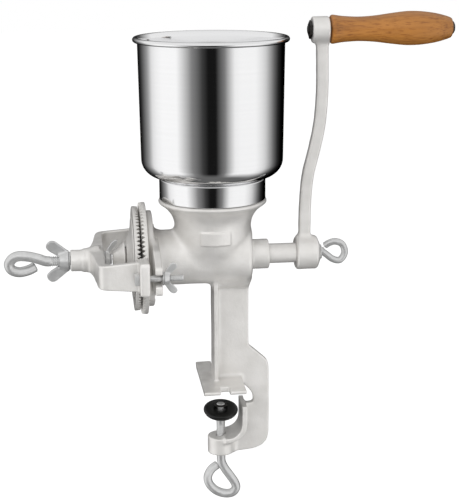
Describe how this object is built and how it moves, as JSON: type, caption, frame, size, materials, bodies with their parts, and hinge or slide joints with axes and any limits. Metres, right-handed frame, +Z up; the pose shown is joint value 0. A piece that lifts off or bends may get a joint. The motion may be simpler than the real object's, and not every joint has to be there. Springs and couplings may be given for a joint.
{
  "type": "hand-cranked grain mill",
  "caption": "Hand-cranked cast grain mill with steel hopper, toothed grinding plates, adjusting yoke, crank with wooden grip and table clamp.",
  "frame": {"origin": "centre of the upper jaw's underside, where the table top goes, on the clamp screw's axis", "axes": "+Z up along the clamp screw, +X along the shaft towards the crank, -Y towards the front"},
  "size_m": [0.4145, 0.168, 0.4667],
  "materials": {
    "cast_tin": "tin-plated casting, satin",
    "stainless": "polished stainless steel",
    "zinc": "bright zinc plating",
    "dark_steel": "blackened steel bolt, nut and washer",
    "beech": "varnished honey-brown turned wood",
    "black_pad": "glossy black"
  },
  "bodies": {
    "mill": {"mill_body": "cast_tin", "stationary_grinding_plate": "cast_tin", "stationary_plate_screw_1": "zinc", "stationary_plate_screw_2": "zinc", "yoke": "cast_tin", "front_yoke_bolt": "zinc", "rear_yoke_bolt": "zinc"},
    "hopper": {"hopper_bowl": "stainless", "hopper_neck": "stainless"},
    "thrust_bearing": {"thrust_ball": "zinc"},
    "adjusting_screw": {"adjusting_screw": "zinc"},
    "rotor": {"auger_shaft": "cast_tin", "drive_pin": "zinc", "rotating_plate_holder": "cast_tin", "rotating_grinding_plate": "cast_tin", "rotating_plate_screw_1": "zinc", "rotating_plate_screw_2": "zinc", "crank_arm": "cast_tin", "grip_bolt": "dark_steel", "grip_nut": "dark_steel"},
    "grip": {"wooden_grip": "beech"},
    "crank_washer": {"crank_washer": "zinc"},
    "thumb_screw": {"thumb_screw": "zinc"},
    "lock_washer": {"lock_washer": "zinc"},
    "lock_wing_nut": {"lock_wing_nut": "zinc"},
    "inner_washer": {"inner_washer": "zinc"},
    "inner_wing_nut": {"inner_wing_nut": "zinc"},
    "front_bolt_washer": {"front_bolt_washer": "zinc"},
    "front_wing_nut": {"front_wing_nut": "zinc"},
    "rear_bolt_washer": {"rear_bolt_washer": "zinc"},
    "rear_wing_nut": {"rear_wing_nut": "zinc"},
    "pad_washer": {"pad_washer": "dark_steel"},
    "clamp_screw": {"clamp_screw": "zinc"},
    "clamp_pad": {"clamp_pad": "black_pad"}
  },
  "joints": [
    {"name": "hopper_lift", "type": "slide", "parent": "mill", "child": "hopper", "axis": [0, 0, 1], "range_m": [0, 0.08]},
    {"name": "plate_gap_slide", "type": "slide", "parent": "mill", "child": "thrust_bearing", "axis": [1, 0, 0], "range_m": [-0.0015, 0.0006]},
    {"name": "adjusting_screw_spin", "type": "hinge", "parent": "thrust_bearing", "child": "adjusting_screw", "pos_m": [-0.1262, 0, 0.1245], "axis": [1, 0, 0], "range_deg": [-360.1, 144.1]},
    {"name": "crank_spin", "type": "hinge", "parent": "thrust_bearing", "child": "rotor", "pos_m": [-0.0062, 0, 0.1245], "axis": [1, 0, 0], "continuous": true},
    {"name": "grip_spin", "type": "hinge", "parent": "rotor", "child": "grip", "pos_m": [0.1588, 0, 0.3305], "axis": [1, 0, 0], "continuous": true},
    {"name": "thumb_screw_slide", "type": "slide", "parent": "rotor", "child": "crank_washer", "axis": [1, 0, 0], "range_m": [0, 0.004]},
    {"name": "thumb_screw_spin", "type": "hinge", "parent": "crank_washer", "child": "thumb_screw", "pos_m": [0.1038, 0, 0.1245], "axis": [1, 0, 0], "range_deg": [0, 1440.5]},
    {"name": "lock_nut_slide", "type": "slide", "parent": "mill", "child": "lock_washer", "axis": [1, 0, 0], "range_m": [-0.004, 0]},
    {"name": "lock_nut_spin", "type": "hinge", "parent": "lock_washer", "child": "lock_wing_nut", "pos_m": [-0.1442, 0, 0.1245], "axis": [1, 0, 0], "range_deg": [-960.5, 0]},
    {"name": "inner_nut_slide", "type": "slide", "parent": "mill", "child": "inner_washer", "axis": [1, 0, 0], "range_m": [0, 0.0005]},
    {"name": "inner_nut_spin", "type": "hinge", "parent": "inner_washer", "child": "inner_wing_nut", "pos_m": [-0.1022, 0, 0.1245], "axis": [1, 0, 0], "range_deg": [0, 120.1]},
    {"name": "front_nut_slide", "type": "slide", "parent": "mill", "child": "front_bolt_washer", "axis": [1, 0, 0], "range_m": [0, 0.008]},
    {"name": "front_nut_spin", "type": "hinge", "parent": "front_bolt_washer", "child": "front_wing_nut", "pos_m": [-0.0542, -0.072, 0.1245], "axis": [1, 0, 0], "range_deg": [0, 2881]},
    {"name": "rear_nut_slide", "type": "slide", "parent": "mill", "child": "rear_bolt_washer", "axis": [1, 0, 0], "range_m": [0, 0.008]},
    {"name": "rear_nut_spin", "type": "hinge", "parent": "rear_bolt_washer", "child": "rear_wing_nut", "pos_m": [-0.0542, 0.072, 0.1245], "axis": [1, 0, 0], "range_deg": [0, 2881]},
    {"name": "clamp_slide", "type": "slide", "parent": "mill", "child": "pad_washer", "axis": [0, 0, 1], "range_m": [-0.012, 0.003]},
    {"name": "clamp_screw_spin", "type": "hinge", "parent": "pad_washer", "child": "clamp_screw", "pos_m": [0, 0, -0.0555], "axis": [0, 0, 1], "range_deg": [-3457, 864.5]},
    {"name": "pad_tilt", "type": "hinge", "parent": "pad_washer", "child": "clamp_pad", "pos_m": [0, 0, -0.0297], "axis": [1, 0, 0], "range_deg": [-24, 0]}
  ],
  "couplings": [
    {"joint": "adjusting_screw_spin", "follows": "plate_gap_slide", "rad_per_m": 4188.8},
    {"joint": "thumb_screw_spin", "follows": "thumb_screw_slide", "rad_per_m": 6283.2},
    {"joint": "lock_nut_spin", "follows": "lock_nut_slide", "rad_per_m": 4188.8},
    {"joint": "inner_nut_spin", "follows": "inner_nut_slide", "rad_per_m": 4188.8},
    {"joint": "front_nut_spin", "follows": "front_nut_slide", "rad_per_m": 6283.2},
    {"joint": "rear_nut_spin", "follows": "rear_nut_slide", "rad_per_m": 6283.2},
    {"joint": "clamp_screw_spin", "follows": "clamp_slide", "rad_per_m": 5026.5}
  ]
}
